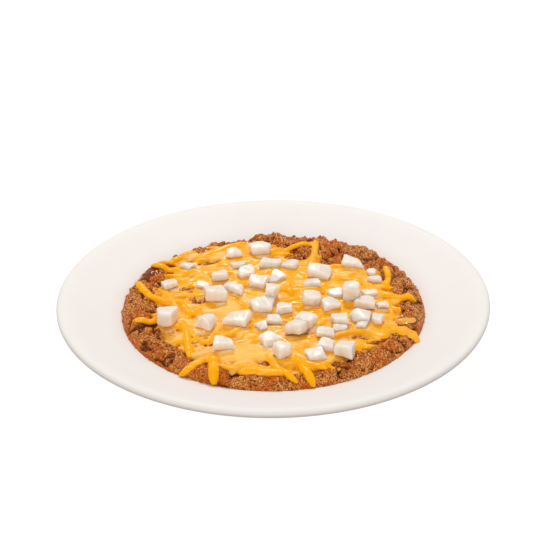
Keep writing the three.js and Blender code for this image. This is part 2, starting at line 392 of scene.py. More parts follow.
def voxel_remeshed(piece, voxel_mm, smoothing):
    remesh = piece.modifiers.new("fuse", "REMESH")
    remesh.mode = "VOXEL"
    remesh.voxel_size = voxel_mm * MM
    even = piece.modifiers.new("even", "SMOOTH")
    even.factor = 0.5
    even.iterations = smoothing
    apply_modifiers(piece)


def thinned_below(piece, is_hidden, keep):
    """Keeps only a share of a piece's faces: those on the side that nobody sees go first."""
    group = piece.vertex_groups.new(name="hidden")
    hidden = [vert.index for vert in piece.data.vertices if is_hidden(vert.co / MM, vert.normal)]
    group.add(hidden, 1.0, "REPLACE")
    thin = piece.modifiers.new("thin", "DECIMATE")
    thin.vertex_group = "hidden"
    thin.vertex_group_factor = 1000
    thin.ratio = keep
    apply_modifiers(piece)
    piece.vertex_groups.clear()


def without_specks(piece):
    """Deletes the loose specks that the thinning leaves, with fewer corners than any real part has."""
    mesh = bmesh.new()
    mesh.from_mesh(piece.data)
    mesh.verts.ensure_lookup_table()
    seen = [False] * len(mesh.verts)
    specks = []
    for start in mesh.verts:
        if seen[start.index]:
            continue
        seen[start.index] = True
        part = [start]
        for vert in part:
            for edge in vert.link_edges:
                other = edge.other_vert(vert)
                if not seen[other.index]:
                    seen[other.index] = True
                    part.append(other)
        if len(part) < SPECK_CORNERS:
            specks += part
    bmesh.ops.delete(mesh, geom=specks, context="VERTS")
    mesh.to_mesh(piece.data)
    mesh.free()


def merged_copy(node):
    """A bmesh of a CAD node with its loose triangles joined up."""
    copy = bmesh.new()
    copy.from_mesh(frame["nodes"][node].data)
    bmesh.ops.remove_doubles(copy, verts=copy.verts, dist=MERGE_DISTANCE)
    return copy


def mesh_from(source, name):
    mesh = bpy.data.meshes.new(name)
    source.to_mesh(mesh)
    source.free()
    return mesh


def coordinates(mesh, kind="co"):
    values = np.empty(len(mesh.vertices) * 3)
    mesh.vertices.foreach_get(kind, values)
    return values.reshape(-1, 3)


def set_coordinates(mesh, places):
    mesh.vertices.foreach_set("co", np.asarray(places, float).ravel())
    mesh.update()


def tree_of(mesh):
    corners = [vert.co for vert in mesh.vertices]
    return BVHTree.FromPolygons(corners, [face.vertices for face in mesh.polygons])


def top_heights(tree):
    """Heights in millimetres of what lies highest, on a square grid of places."""
    heights = np.full((GRID_COUNT, GRID_COUNT), float(CHILI_LEVEL))
    for i in range(GRID_COUNT):
        for j in range(GRID_COUNT):
            above = Vector((i * GRID_STEP - GRID_HALF, j * GRID_STEP - GRID_HALF, RAY_HEIGHT)) * MM
            hit = tree.ray_cast(above, DOWN)[0]
            if hit:
                heights[i, j] = hit.z / MM
    return heights


def evened(heights, passes):
    """A copy of the grid of heights, smoothed by so many passes."""
    even = heights
    for _ in range(passes):
        around = np.pad(even, 1, mode="edge")
        sides = around[:-2, 1:-1] + around[2:, 1:-1] + around[1:-1, :-2] + around[1:-1, 2:]
        even = (sides + 2 * even) / 6
    return even


def grid_cell(x, y):
    return round((x + GRID_HALF) / GRID_STEP), round((y + GRID_HALF) / GRID_STEP)


def height_at(heights, x, y):
    last = len(heights) - 1.001
    u = min(max((x + GRID_HALF) / GRID_STEP, 0), last)
    v = min(max((y + GRID_HALF) / GRID_STEP, 0), last)
    i, j = int(u), int(v)
    low = lerp(heights[i, j], heights[i + 1, j], u - i)
    high = lerp(heights[i, j + 1], heights[i + 1, j + 1], u - i)
    return lerp(low, high, v - j)


def set_attribute(mesh, name, values):
    layer = mesh.attributes.new(name, "FLOAT", "POINT")
    layer.data.foreach_set("value", np.asarray(values, np.float32))


# ---- glazed china plate ----


def glaze_material():
    """Vitrified china under a satin glaze: cream-white, softly glossy, with painted shade greying the
    underside of its lip.
    """
    material, tree = new_material("cream glazed china")
    place = add_node(tree, "ShaderNodeTexCoord").outputs["Object"]
    painted_lip_shade = add_node(tree, "ShaderNodeAttribute", attribute_name="painted_lip_shade").outputs["Fac"]
    wave = add_node(
        tree, "ShaderNodeTexNoise", {"Vector": place, "Scale": 1 / (14 * MM), "Detail": 2.0, "Roughness": 0.5}
    ).outputs["Fac"]
    colour = tinted(
        tree,
        "#ece6e0",
        [wave, "LINEAR", 0.0, 1.0, 1.0, "#efe9e4"],
        # Painted shade: grey-brown on the underside of the rounded edge.
        [painted_lip_shade, "LINEAR", 0.0, 1.0, 1.0, "#a89d94"],
    )
    bump = add_node(tree, "ShaderNodeBump", {"Height": wave, "Strength": 0.12, "Distance": 0.4 * MM})
    glaze = add_node(
        tree,
        "ShaderNodeBsdfPrincipled",
        {
            "Base Color": colour,
            "Roughness": 0.5,
            "IOR": 1.5,
            "Specular IOR Level": 0.08,
            "Normal": bump.outputs["Normal"],
        },
    )
    add_node(tree, "ShaderNodeOutputMaterial", {"Surface": glaze.outputs["BSDF"]})
    return material


def plate_profile():
    """Half of the plate's section as [radius, height], from under the middle to the middle of the well."""
    floor = FOOT_HEIGHT + PLATE_WALL
    under = SHOULDER_HEIGHT - PLATE_WALL
    foot_inside = FOOT_RADIUS - FOOT_WIDTH
    rim_end = PLATE_RADIUS - EDGE_ROUND
    edge_middle = PLATE_HEIGHT - EDGE_ROUND

    # A bend runs between its first and last point and leans towards the two between them.
    def bent(points):
        flat = [Vector((radius, height, 0)) for radius, height in points]
        return [(point.x, point.y) for point in interpolate_bezier(*flat, BEND_STEPS)]

    foot = [
        (0, FOOT_HEIGHT),
        (foot_inside - 3, FOOT_HEIGHT),
        (foot_inside - 1, FOOT_HEIGHT - 0.8),
        (foot_inside, 0.6),
        (foot_inside + 0.6, 0),
        (FOOT_RADIUS - 0.6, 0),
        (FOOT_RADIUS, 0.6),
        (FOOT_RADIUS + 0.8, FOOT_HEIGHT - 0.8),
    ]
    belly = bent([(FOOT_RADIUS + 1.8, FOOT_HEIGHT), (75, 5), (77, under - 4), (88, under)])
    rim_under = [(PLATE_RADIUS - 7, PLATE_HEIGHT - 2 * EDGE_ROUND - 1.7)]
    # The rounded edge, from under the rim up to its top.
    turns = [math.radians(angle) for angle in range(-65, 91, 22)]
    edge = [
        (rim_end + EDGE_ROUND * math.cos(turn), edge_middle + EDGE_ROUND * math.sin(turn)) for turn in turns
    ]
    rim = [(rim_end - 3, PLATE_HEIGHT), (98, 30.7), (88, 27.8)]
    shoulder = (SHOULDER_RADIUS, SHOULDER_HEIGHT)
    well = bent([shoulder, (71, SHOULDER_HEIGHT - 2.5), (69, floor), (FLOOR_RADIUS, floor)])
    return foot + belly + rim_under + edge + rim + well + [(20, floor), (0, floor)]


def make_plate():
    body = bmesh.new()
    section = [body.verts.new((radius * MM, 0, height * MM)) for radius, height in plate_profile()]
    edges = [body.edges.new(pair) for pair in zip(section, section[1:])]
    bmesh.ops.spin(
        body,
        geom=section + edges,
        cent=(0, 0, 0),
        axis=(0, 0, 1),
        angle=math.tau,
        steps=PLATE_STEPS,
        use_merge=True,
    )
    bmesh.ops.remove_doubles(body, verts=body.verts, dist=MERGE_DISTANCE)
    bmesh.ops.recalc_face_normals(body, faces=body.faces)
    mesh = mesh_from(body, "soup_plate_glazed")
    # Painted shade under the rounded edge, greyest low on its outer side.
    painted_lip_shade = []
    for x, y, z in coordinates(mesh) / MM:
        below = smoothstep(PLATE_HEIGHT - 0.1, PLATE_HEIGHT - 1.6 * EDGE_ROUND, z)
        painted_lip_shade.append(below * smoothstep(PLATE_RADIUS - 5, PLATE_RADIUS - 2, math.hypot(x, y)))
    set_attribute(mesh, "painted_lip_shade", painted_lip_shade)
    set_surface(mesh, glaze_material())
    plate = add_object("soup_plate_glazed", mesh)
    rounding = plate.modifiers.new("rounding", "SUBSURF")
    rounding.levels = rounding.render_levels = 1
    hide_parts("soup_plate")
    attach(plate, "root")


# ---- minced beef chili ----


def chili_material():
    """Minced beef stewed with tomato and chilli: brown crumbs, creases darkened with painted shade, red oil,
    all wet and grainy.
    """
    material, tree = new_material("minced beef chili")
    place = add_node(tree, "ShaderNodeTexCoord").outputs["Object"]
    painted_crease_shade, bean, gilt, oil = (
        add_node(tree, "ShaderNodeAttribute", attribute_name=name).outputs["Fac"]
        for name in ("painted_crease_shade", "bean", "gilt", "oil")
    )
    # Patches of sauce, crumbs and the grain of the meat: [width in millimetres, detail, roughness].
    patch_noise, crumb_noise, grain_noise = (
        add_node(
            tree,
            "ShaderNodeTexNoise",
            {"Vector": place, "Scale": 1 / (size * MM), "Detail": detail, "Roughness": roughness},
        )
        for size, detail, roughness in ([10, 3.0, 0.6], [3, 3.0, 0.65], [0.65, 1.0, 0.5])
    )
    patches, crumb, grain = (made.outputs["Fac"] for made in (patch_noise, crumb_noise, grain_noise))
    warped = add_node(
        tree,
        "ShaderNodeVectorMath",
        {0: crumb_noise.outputs["Color"], 1: (2 * MM,) * 3, 2: place},
        operation="MULTIPLY_ADD",
    ).outputs[0]
    cells = add_node(
        tree, "ShaderNodeTexVoronoi", {"Vector": warped, "Scale": 1 / (1.2 * MM), "Randomness": 1.0}
    )
    cell_tone = cells.outputs["Color"]
    clustered = add_node(
        tree, "ShaderNodeMath", {0: patches, 1: -0.3, 2: grain}, operation="MULTIPLY_ADD"
    ).outputs[0]
    bean_share = add_node(
        tree, "ShaderNodeMapRange", {"Value": bean, "From Min": 0.0, "From Max": 0.2}
    ).outputs[0]
    bean_skin = tinted(tree, "#7a3010", [gilt, "LINEAR", 0.0, 1.0, 1.0, "#f0aa4c"])
    colour = tinted(
        tree,
        "#ba5a0e",
        # Meat, with tan and with browned crumbs.
        [crumb, "SMOOTHSTEP", 0.36, 0.64, 1.0, "#f6942c"],
        [cell_tone, "LINEAR", 0.53, 0.72, 0.7, "#f0a662"],
        [cell_tone, "LINEAR", 0.45, 0.28, 0.7, "#702600"],
        # Pale flecks, dark pits, and patches where sauce covers both.
        [clustered, "SMOOTHSTEP", 0.39, 0.46, 0.8, "#ffb468"],
        [grain, "SMOOTHSTEP", 0.46, 0.38, 0.85, "#6a2400"],
        [patches, "SMOOTHSTEP", 0.48, 0.62, 0.55, "#dc6410"],
        # Painted shade in the creases, red oil at the edge, and the beans, each with painted shade in the
        # hollow round it.
        [painted_crease_shade, "SMOOTHSTEP", 0.34, 0.0, 0.75, "#541800"],
        [oil, "LINEAR", 0.0, 1.0, 0.8, "#c8600e"],
        # Painted shade in a ring round each bean.
        [bean, "LINEAR", -0.6, -0.1, 0.8, "#6a2c08"],
        [bean_share, "LINEAR", 0.0, 1.0, 1.0, bean_skin],
    )
    dryness = add_node(
        tree,
        "ShaderNodeMapRange",
        {"Value": patches, "From Min": 0.35, "From Max": 0.65, "To Min": 0.22, "To Max": 0.1},
    ).outputs[0]
    roughness = add_node(
        tree, "ShaderNodeMath", {0: bean_share, 1: -0.12, 2: dryness}, operation="MULTIPLY_ADD"
    ).outputs[0]
    coarseness = add_node(
        tree, "ShaderNodeMapRange", {"Value": bean_share, "To Min": 1.0, "To Max": 0.05}
    ).outputs[0]
    knobbly = add_node(
        tree, "ShaderNodeMath", {0: cells.outputs["Distance"], 1: -0.5, 2: grain}, operation="MULTIPLY_ADD"
    ).outputs[0]
    bump = add_node(
        tree, "ShaderNodeBump", {"Height": knobbly, "Strength": coarseness, "Distance": 1.0 * MM}
    )
    surface = add_node(
        tree,
        "ShaderNodeBsdfPrincipled",
        {
            "Base Color": colour,
            "Roughness": roughness,
            "IOR": 1.4,
            "Specular IOR Level": 0.5,
            "Specular Tint": linear("#ffd2a0"),
            "Subsurface Weight": 0.12,
            "Subsurface Radius": (1.6, 0.8, 0.4),
            "Subsurface Scale": 1.0 * MM,
            "Normal": bump.outputs["Normal"],
        },
    )
    add_node(tree, "ShaderNodeOutputMaterial", {"Surface": surface.outputs["BSDF"]})
    return material


def exposed(x, y):
    """How open the chili lies at a place: 0 under the middle of the cheese, 1 beyond its edge."""
    return max(smoothstep(-9, 3, past_sheet(x, y)), float(in_opening(x, y, 2.0)))


def ball_mesh(draw):
    """An uneven ball of radius about 1 as arrays of corners and triangles."""
    ball = bmesh.new()
    bmesh.ops.create_icosphere(ball, subdivisions=2, radius=1)
    shift = Vector([draw.uniform(-50, 50) for _ in range(3)])
    for vert in ball.verts:
        vert.co += noise.noise_vector(vert.co * 1.1 + shift) * 0.5
    mesh = mesh_from(ball, "ball")
    faces = np.array([list(face.vertices) for face in mesh.polygons])
    return coordinates(mesh), faces


def crumbs(tree, tries, smallest, largest):
    """Crumbs of mince, most of each one sunk, thickest where the chili lies open, as one mesh."""
    draw = random.Random(tries)
    shapes = [ball_mesh(draw) for _ in range(BALL_SHAPES)]
    corners, faces = [], []
    count = 0
    for _ in range(tries):
        angle = draw.uniform(0, math.tau)
        radius = (CHILI_RADIUS - CRUMB_MARGIN) * math.sqrt(draw.random())
        x, y = radius * math.cos(angle), radius * math.sin(angle)
        if draw.random() > exposed(x, y) or over_bean(x, y)[0] > BEAN_CLEARING:
            continue
        hit = tree.ray_cast(Vector((x * MM, y * MM, RAY_HEIGHT * MM)), DOWN)[0]
        if not hit:
            continue
        clumped = 0.5 + 0.5 * ripple(x, y, CLUMP_WIDTH, 9)
        size = draw.uniform(smallest, largest) * lerp(0.75, 1.3, clumped)
        # Only small crumbs lie at the very edge, so that none hangs over the rim.
        size = min(size, lerp(0.9, largest, smoothstep(CHILI_RADIUS, CHILI_RADIUS - 6, radius)))
        turn = Matrix.Rotation(draw.uniform(0, math.tau), 3, Vector([draw.gauss(0, 1) for _ in range(3)]))
        shape = np.array(turn) * np.array([draw.uniform(0.75, 1.3) for _ in range(3)])
        sunk = np.array([0, 0, size * draw.uniform(-0.9, -0.3) * MM])
        ball, ball_faces = draw.choice(shapes)
        faces.append(ball_faces + count)
        count += len(ball)
        corners.append(ball @ shape.T * size * MM + np.array(hit) + sunk)
    mesh = bpy.data.meshes.new("crumbs")
    mesh.from_pydata(np.concatenate(corners).tolist(), [], np.concatenate(faces).tolist())
    return mesh


def mince_folds(x, y, z):
    """Height of the soft folds at a place in millimetres, lowest in the creases, of which few are deep."""
    spot = Vector((x, y, z))
    warped = spot + noise.noise_vector(spot / 9) * FOLD_WANDER + noise.noise_vector(spot / 3.5) * 1.5
    folds = noise.voronoi(warped / FOLD_SPACING)[0]
    clumps = noise.voronoi(warped / CLUMP_SPACING)[0]
    deep = smoothstep(0.0, 0.4, ripple(x, y, 10, 108))
    crease = lerp(SHALLOW_CREASE, DEEP_CREASE, deep) * smoothstep(0.3, 0.0, folds[1] - folds[0])
    swell = 1.2 * ripple(x, y, 12, 90)
    return swell + 0.9 * smoothstep(0.0, 0.4, clumps[1] - clumps[0]) - crease


def roughened(piece):
    """Gives the top of a piece its small unevenness, so that no part of it lies quite flat."""
    mesh = piece.data
    places = coordinates(mesh)
    for place, normal in zip(places, coordinates(mesh, "normal")):
        if place[2] > CHILI_LEVEL * MM and normal[2] > -0.3:
            place += normal * ROUGHNESS * noise.noise(Vector(place) / (ROUGH_GRAIN * MM)) * MM
    set_coordinates(mesh, places)


def edge_height(x, y):
    """The share of its height that the chili keeps: less at its edge, in front and behind on the left."""
    front = smoothstep(55, -10, y)
    behind = smoothstep(34, 18, abs(math.degrees(math.atan2(y, x)) - 120))
    return lerp(1.0, smoothstep(CHILI_RADIUS + 3, CHILI_RADIUS - 8, math.hypot(x, y)), max(front, behind))


def make_chili():
    body = merged_copy("chili")
    # The dome keeps less of its height at the edge, and its side goes down, clear of the plate.
    for vert in body.verts:
        x, y, z = vert.co / MM
        if z > CHILI_LEVEL + 0.3:
            vert.co.z = (CHILI_LEVEL + (z - CHILI_LEVEL) * edge_height(x, y)) * MM
        elif z > CHILI_LEVEL - 3:
            vert.co.z -= CHILI_GAP * MM
    for tries, smallest, largest in CRUMB_SIZES:
        body.from_mesh(crumbs(BVHTree.FromBMesh(body), tries, smallest, largest))
    chili = add_object("chili_mince", mesh_from(body, "chili_mince"))
    voxel_remeshed(chili, CHILI_VOXEL, smoothing=1)
    roughened(chili)
    thinned_below(chili, lambda place, normal: place.z < CHILI_LEVEL - 2 or normal.z < -0.2, CHILI_KEPT)
    without_specks(chili)
    mesh = chili.data
    places = coordinates(mesh)
    levels = evened(top_heights(tree_of(mesh)), passes=10)
    painted_crease_shade = np.full(len(places), 0.5)
    bean = np.full(len(places), -1.0)
    gilt = np.zeros(len(places))
    oil = np.zeros(len(places))
    for i, (place, normal) in enumerate(zip(places, coordinates(mesh, "normal"))):
        x, y, z = place / MM
        if z < CHILI_LEVEL or normal[2] < -0.3:
            continue
        radius = math.hypot(x, y)
        inside, gilt[i] = over_bean(x, y)
        bean[i] = max(inside, -1.0)
        # The ring of red oil is of uneven width, and widest on the left.
        soaked = 1.5 * ripple(x, y, 14, 0) + 0.8 * ripple(x, y, 4, 0)
        soaked -= 1.8 * smoothstep(-55, -10, x)
        oil[i] = smoothstep(CHILI_RADIUS - 2.4, CHILI_RADIUS - 0.8, radius + soaked)
        share = exposed(x, y) * smoothstep(CHILI_RADIUS + 0.5, CHILI_RADIUS - 4, radius)
        share *= 1 - smoothstep(-0.6, 0.0, inside)
        folds = mince_folds(x, y, z)
        place[2] += folds * share * MM
        # The painted crease shade: darker where the mince lies below the heights around it and in the creases
        # of its folds.
        above = z - height_at(levels, x, y)
        painted_crease_shade[i] = 0.5 + above / MINCE_DEPTH + folds / FOLD_DEPTH * share
    set_coordinates(mesh, places)
    for name, values in (("painted_crease_shade", painted_crease_shade.clip(0, 1)), ("bean", bean), ("gilt", gilt), ("oil", oil)):
        set_attribute(mesh, name, values)
    set_surface(mesh, chili_material())
    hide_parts("chili")
    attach(chili, "root")
    return chili


# ---- melted Cheddar shreds ----


def cheddar_material():
    """Melted Cheddar: orange-yellow shreds, paler where fat has run, brown where chili shines through."""
    material, tree = new_material("melted cheddar")
    place = add_node(tree, "ShaderNodeTexCoord").outputs["Object"]
    thickness, tone, painted_crease_shade = (
        add_node(tree, "ShaderNodeAttribute", attribute_name=name).outputs["Fac"]
        for name in ("thickness", "tone", "painted_crease_shade")
    )
    along = add_node(
        tree, "ShaderNodeMapping", {"Vector": place, "Scale": (0.25, 1.0, 1.0)}
    ).outputs["Vector"]
    streaks = add_node(
        tree,
        "ShaderNodeTexNoise",
        {"Vector": along, "Scale": 1 / (2.0 * MM), "Detail": 4.0, "Roughness": 0.65, "Distortion": 0.6},
    ).outputs["Fac"]
    grain = add_node(
        tree,
        "ShaderNodeTexNoise",
        {"Vector": place, "Scale": 1 / (1.6 * MM), "Detail": 2.0, "Roughness": 0.5},
    ).outputs["Fac"]
    streaked, patchy, uneven = (
        add_node(tree, "ShaderNodeMath", {0: added, 1: amount, 2: to}, operation="MULTIPLY_ADD").outputs[0]
        for added, amount, to in ((streaks, 1.4, tone), (grain, 0.5, thickness), (grain, 0.5, streaks))
    )
    colour = tinted(
        tree,
        "#ffae00",
        # Paler and palest where the fat has run, deeper orange in the creases as painted shade, brown where
        # the cheese is thin.
        [streaked, "SMOOTHSTEP", 0.75, 1.25, 1.0, "#ffc25c"],
        [streaked, "SMOOTHSTEP", 1.3, 1.9, 1.0, "#ffdcb0"],
        [painted_crease_shade, "SMOOTHSTEP", 0.5, 0.26, 0.75, "#f49e1c"],
        [patchy, "SMOOTHSTEP", 0.5, 0.22, 1.0, "#d27c22"],
    )
    # Whole shreds are glossy and smooth, and cheese that has run is duller and creased.
    roughness, creasing = (
        add_node(
            tree,
            "ShaderNodeMapRange",
            {"Value": tone, "From Min": 0.0, "From Max": 0.5, "To Min": whole, "To Max": run},
        ).outputs[0]
        for whole, run in ((0.22, 0.5), (0.15, 0.6))
    )
    bump = add_node(tree, "ShaderNodeBump", {"Height": uneven, "Strength": creasing, "Distance": 0.5 * MM})
    surface = add_node(
        tree,
        "ShaderNodeBsdfPrincipled",
        {
            "Base Color": colour,
            "Roughness": roughness,
            "IOR": 1.45,
            "Specular IOR Level": 0.16,
            "Subsurface Weight": 0.3,
            "Subsurface Radius": (2.0, 1.6, 0.6),
            "Subsurface Scale": 0.8 * MM,
            "Normal": bump.outputs["Normal"],
        },
    )
    add_node(tree, "ShaderNodeOutputMaterial", {"Surface": surface.outputs["BSDF"]})
    return material


def scattered_lines(draw, count, shortest, longest, spread, reach):
    """Lines spread evenly over the sheet, most lying across it, none much over an opening or far outside."""
    lines = []
    golden_angle = math.radians(137.5)
    for i in range(count):
        angle = i * golden_angle
        radius = round_knots(SHEET_REACH, angle) * reach * math.sqrt((i + 0.5) / count)
        heading = draw.gauss(0.0, spread)
        half = draw.uniform(shortest, longest) / 2
        x, y = radius * math.cos(angle), radius * math.sin(angle)
        dx, dy = half * math.cos(heading), half * math.sin(heading)
        line = bent_line(x - dx, y - dy, x + dx, y + dy, draw.uniform(-5, 5), draw.uniform(-1.8, 1.8))
        crossing = sum(in_opening(px, py, 0.4) for px, py in line) / len(line)
        outside = max(past_sheet(px, py) for px, py in line)
        if crossing < MOST_CROSSING and outside < MOST_OUTSIDE:
            lines.append(line)
    return lines


def raise_along(heights, line, width, amount):
    """Raises the grid of heights under a shred."""
    reach = int(width / 2 / GRID_STEP) + 1
    touched = set()
    for x, y in line:
        middle_i, middle_j = grid_cell(x, y)
        for i in range(middle_i - reach, middle_i + reach + 1):
            for j in range(middle_j - reach, middle_j + reach + 1):
                apart = math.hypot(i * GRID_STEP - GRID_HALF - x, j * GRID_STEP - GRID_HALF - y)
                if apart <= width / 2:
                    touched.add((i, j))
    for i, j in touched:
        if 0 <= i < GRID_COUNT and 0 <= j < GRID_COUNT:
            heights[i, j] += amount


def bent_line(from_x, from_y, to_x, to_y, bend, wave=0.0):
    """Places along a line bowed to one side, with a small wave along it."""
    length = math.hypot(to_x - from_x, to_y - from_y)
    side_x, side_y = -(to_y - from_y) / length, (to_x - from_x) / length
    places = []
    for i in range(LINE_STEPS + 1):
        share = i / LINE_STEPS
        off = 4 * bend * share * (1 - share) + wave * math.sin(share * math.tau)
        places.append((lerp(from_x, to_x, share) + side_x * off, lerp(from_y, to_y, share) + side_y * off))
    return places


def shred_lines():
    """Every shred as (line, width, tone, rise): the melted ones, those still whole on top, the strays."""
    draw = random.Random(SHRED_SEED)
    melted = [
        (line, SHRED_WIDTH * draw.uniform(1.0, 1.7), draw.uniform(0.2, 0.8), -0.05)
        for line in scattered_lines(draw, MELTED_COUNT, shortest=20, longest=36, spread=0.35, reach=0.97)
    ]
    whole = [
        (line, SHRED_WIDTH * draw.uniform(0.5, 0.95), draw.uniform(-0.45, 0.15), draw.uniform(0.0, 0.25))
        for line in scattered_lines(draw, WHOLE_COUNT, shortest=22, longest=44, spread=0.5, reach=0.95)
        if sum(in_pool(x, y)[0] > 0.5 for x, y in line) < 4
    ]
    strays = [(bent_line(*stray[:5]), stray[5], draw.uniform(-0.2, 0.2), 0.35) for stray in STRAY_SHREDS]
    return melted + whole + strays


def ellipse_section():
    """The shred's section: a flattened round, one unit wide."""
    section = bpy.data.curves.new("shred_section", "CURVE")
    section.dimensions = "2D"
    spline = section.splines.new("POLY")
    spline.points.add(SECTION_CORNERS - 1)
    spline.use_cyclic_u = True
    for i, point in enumerate(spline.points):
        turn = i * math.tau / SECTION_CORNERS
        point.co = (0.5 * math.cos(turn) * MM, 0.5 * math.sin(turn) * SHRED_HEIGHT / SHRED_WIDTH * MM, 0, 1)
    return add_object("shred_section", section)


def laid_shreds(heights, lines):
    """One mesh of every shred, each lying on what is already there, and the line of each one's middle."""
    section = ellipse_section()
    curves = bpy.data.curves.new("cheddar_shreds", "CURVE")
    curves.dimensions = "3D"
    curves.twist_mode = "Z_UP"
    curves.bevel_mode = "OBJECT"
    curves.bevel_object = section
    curves.use_fill_caps = True
    middles = []
    for line, width, _, rise in lines:
        bed = evened(heights, passes=2)
        spline = curves.splines.new("POLY")
        spline.points.add(len(line) - 1)
        middle = []
        for i, ((x, y), point) in enumerate(zip(line, spline.points)):
            share = i / (len(line) - 1)
            # Each end narrows to under half of the shred's width.
            tip = min(1.0, 0.45 + 4 * min(share, 1 - share))
            height = height_at(bed, x, y) + rise * SHRED_HEIGHT
            point.co = (x * MM, y * MM, height * MM, 1)
            point.radius = width * tip
            middle.append(Vector((x, y, height)) * MM)
        middles.append(middle)
        raise_along(heights, line, 0.8 * width, 0.5 + rise)
    holder = add_object("cheddar_shreds", curves)
    mesh = finished_mesh(holder)
    for temporary in (holder, section):
        bpy.data.objects.remove(temporary)
    return mesh, middles


def melted_film(heights, spots):
    """The thin cheese that has run together between the shreds, with its openings, drawn up to the onion."""
    film = bmesh.new()
    bmesh.ops.create_grid(film, x_segments=FILM_STEPS, y_segments=FILM_STEPS, size=FILM_HALF * MM)
    bed = evened(heights, passes=4)

    def is_bare(face):
        x, y, _ = face.calc_center_median() / MM
        if in_pool(x, y)[0] > 0.4:
            return False
        ragged = 4 * ripple(x, y, 6, 3)
        thin = ripple(x, y, 5, 40, stretch=2.0)
        return past_sheet(x, y) > ragged - 1 or in_opening(x, y) or thin > 0.5

    bare = [face for face in film.faces if is_bare(face)]
    bmesh.ops.delete(film, geom=bare, context="FACES")
    for vert in film.verts:
        x, y, _ = vert.co / MM
        crease = ripple(x, y, 2.6, 20, stretch=3.5)
        pool = in_pool(x, y)[0]
        sag = smoothstep(0.1, 0.5, ripple(x, y, 8, 80, stretch=1.5)) * (1 - pool)
        rise = 0.5 * FILM_THICKNESS + POOL_RISE * pool + 0.25 * crease - 0.6 * sag
        drawn_up = ONION_RISE * by_onion(spots, x, y, ONION_REACH)
        vert.co.z = (height_at(bed, x, y) + rise + drawn_up) * MM
    bmesh.ops.solidify(film, geom=film.faces[:], thickness=FILM_THICKNESS * MM)
    bmesh.ops.recalc_face_normals(film, faces=film.faces)
    return film


def film_cover(film):
    """Which places of the height grid the film covers."""
    cover = np.zeros((GRID_COUNT, GRID_COUNT), bool)
    for vert in film.verts:
        x, y, _ = vert.co / MM
        cover[grid_cell(x, y)] = True
    return cover


def tones_at(places, lines, middles, spots):
    """How far the cheese has paled at each place: a shred's own tone, paler between, palest by onion."""
    steps = []
    for (_, width, tone, _), middle in zip(lines, middles):
        for start, end in zip(middle, middle[1:]):
            steps += [(start, width, tone), (start.lerp(end, 0.5), width, tone)]
    nearest = KDTree(len(steps))
    for i, (point, _, _) in enumerate(steps):
        nearest.insert(point, i)
    nearest.balance()
    tones = []
    for place in places:
        x, y, _ = place / MM
        past = past_sheet(x, y)
        _, i, apart = nearest.find(Vector(place))
        _, width, tone = steps[i]
        beside = smoothstep(0.48, 0.68, apart / (width * MM))
        run_out = lerp(0.9, 0.3, smoothstep(-12, -3, past))
        pool, pool_tone = in_pool(x, y)
        paled = lerp(lerp(tone, run_out, beside), pool_tone, pool)
        tones.append(paled + 0.55 * smoothstep(0, -14, past) * by_onion(spots, x, y, 2.5))
    return tones


def make_cheese(chili):
    tree = tree_of(chili.data)
    heights = top_heights(tree)
    spots = onion_spots()
    fused = melted_film(heights, spots)
    heights += np.where(film_cover(fused), FILM_RISE * FILM_THICKNESS, 0.0)
    lines = shred_lines()
    shreds, middles = laid_shreds(heights, lines)
    fused.from_mesh(shreds)
    cheese = add_object("cheddar_melted", mesh_from(fused, "cheddar_melted"))
    voxel_remeshed(cheese, CHEESE_VOXEL, smoothing=5)
    thinned_below(cheese, lambda place, normal: normal.z < -0.3, CHEESE_KEPT)
    without_specks(cheese)
    mesh = cheese.data
    places = coordinates(mesh)
    levels = evened(top_heights(tree_of(mesh)), passes=4)
    thickness, painted_crease_shade = [], []
    for place, normal in zip(places, coordinates(mesh, "normal")):
        hit = tree.ray_cast(Vector(place), DOWN)[0]
        thickness.append(min((place[2] - hit.z) / (FULL_THICKNESS * MM), 1.0) if hit else 1.0)
        x, y, z = place / MM
        above = z - height_at(levels, x, y)
        # The painted crease shade: deeper orange where the cheese lies below the cheese around it.
        painted_crease_shade.append(0.5 + above / CHEESE_DEPTH)
        # What stands above the cheese around it has melted down towards it, most at the back.
        melted = lerp(0.35, 0.75, smoothstep(-10, 40, y)) * smoothstep(0, -8, past_sheet(x, y))
        place[2] -= melted * above * smoothstep(-0.2, 0.2, normal[2]) * MM
    set_coordinates(mesh, places)
    set_attribute(mesh, "thickness", thickness)
    set_attribute(mesh, "painted_crease_shade", painted_crease_shade)
    set_attribute(mesh, "tone", tones_at(places, lines, middles, spots))
    set_surface(mesh, cheddar_material())
    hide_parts("cheese")
    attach(cheese, "root")


# ---- diced white onion ----


